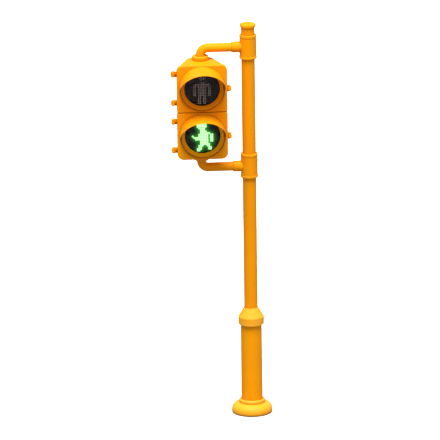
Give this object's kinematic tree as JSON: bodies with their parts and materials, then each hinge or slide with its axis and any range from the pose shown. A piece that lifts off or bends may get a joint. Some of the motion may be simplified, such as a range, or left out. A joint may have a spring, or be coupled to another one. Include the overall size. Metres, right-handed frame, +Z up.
{
  "type": "pedestrian traffic light",
  "caption": "Pedestrian signal: stacked stop and walk lamps with visors, hung between side arms on a stepped tubular pole with a bell-shaped foot.",
  "frame": {"origin": "centre of the base plate's underside, on the ground", "axes": "+Z up along the pole, the signal head faces -Y and hangs on the -X side"},
  "size_m": [0.786, 0.596, 3.224],
  "materials": {
    "signal_paint": "smooth satin powder coat, signal orange-yellow",
    "zinc_steel": "bright zinc plate",
    "galvanised_plate": "hot-dip galvanised, matt",
    "black_rubber": "matt",
    "smoked_lens": "smoked clear, glossy",
    "unlit_led": "water-clear resin, unlit",
    "lit_led": "lit green resin",
    "circuit_board": "black solder mask",
    "black_plastic": "moulded, fine grain",
    "terminal_plastic": "moulded grey",
    "cable_jacket": "PVC jacket"
  },
  "bodies": {
    "pole": {"base_plate": "galvanised_plate", "anchor_washers": "zinc_steel", "anchor_nuts": "zinc_steel", "base_cover": "signal_paint", "base_ring": "signal_paint", "lower_column": "signal_paint", "handhole_gasket": "black_rubber", "handhole_cover": "signal_paint", "handhole_screws": "zinc_steel", "reducer_collar": "signal_paint", "reducer_screws": "zinc_steel", "centering_ring": "zinc_steel", "upper_pole": "signal_paint", "pole_cap": "signal_paint", "cap_seal": "black_rubber", "terminal_rail": "zinc_steel", "pole_terminals": "terminal_plastic", "riser_cable": "cable_jacket"},
    "bracket": {"upper_clamp": "signal_paint", "lower_clamp": "signal_paint", "clamp_screws": "zinc_steel", "upper_arm": "signal_paint", "lower_arm": "signal_paint", "upper_hub": "signal_paint", "lower_hub": "signal_paint", "hub_locknuts": "zinc_steel", "arm_cable": "cable_jacket"},
    "head": {"upper_housing": "signal_paint", "lower_housing": "signal_paint", "hub_gaskets": "black_rubber", "section_gasket": "black_rubber", "coupling_bolts": "zinc_steel", "coupling_nuts": "zinc_steel", "hinge_pins": "zinc_steel", "head_terminals": "terminal_plastic", "head_wiring": "cable_jacket"},
    "upper_door_assembly": {"upper_door": "signal_paint", "upper_door_gasket": "black_rubber", "upper_visor": "signal_paint", "upper_visor_screws": "zinc_steel", "upper_lens": "smoked_lens", "upper_lens_seal": "black_rubber", "upper_led_board": "circuit_board", "upper_leds": "unlit_led", "upper_module_case": "black_plastic", "upper_module_clips": "zinc_steel"},
    "lower_door_assembly": {"lower_door": "signal_paint", "lower_door_gasket": "black_rubber", "lower_visor": "signal_paint", "lower_visor_screws": "zinc_steel", "lower_lens": "smoked_lens", "lower_lens_seal": "black_rubber", "lower_led_board": "circuit_board", "lower_leds": "lit_led", "lower_module_case": "black_plastic", "lower_module_clips": "zinc_steel"},
    "upper_latch": {"upper_latch_knob": "signal_paint"},
    "lower_latch": {"lower_latch_knob": "signal_paint"}
  },
  "joints": [
    {"name": "bracket_aim", "type": "hinge", "parent": "pole", "child": "bracket", "pos_m": [0, 0, 2.5], "axis": [0, 0, 1], "range_deg": [-30, 30]},
    {"name": "head_aim", "type": "hinge", "parent": "bracket", "child": "head", "pos_m": [-0.379, 0, 2.5], "axis": [0, 0, 1], "range_deg": [-45, 45]},
    {"name": "upper_door_hinge", "type": "hinge", "parent": "head", "child": "upper_door_assembly", "pos_m": [-0.608, -0.137, 2.7445], "axis": [0, 0, -1], "range_deg": [0, 110]},
    {"name": "upper_latch_turn", "type": "hinge", "parent": "upper_door_assembly", "child": "upper_latch", "pos_m": [-0.161, -0.137, 2.7345], "axis": [0, 1, 0], "continuous": true},
    {"name": "lower_door_hinge", "type": "hinge", "parent": "head", "child": "lower_door_assembly", "pos_m": [-0.608, -0.137, 2.3545], "axis": [0, 0, -1], "range_deg": [0, 110]},
    {"name": "lower_latch_turn", "type": "hinge", "parent": "lower_door_assembly", "child": "lower_latch", "pos_m": [-0.161, -0.137, 2.3445], "axis": [0, 1, 0], "continuous": true}
  ]
}
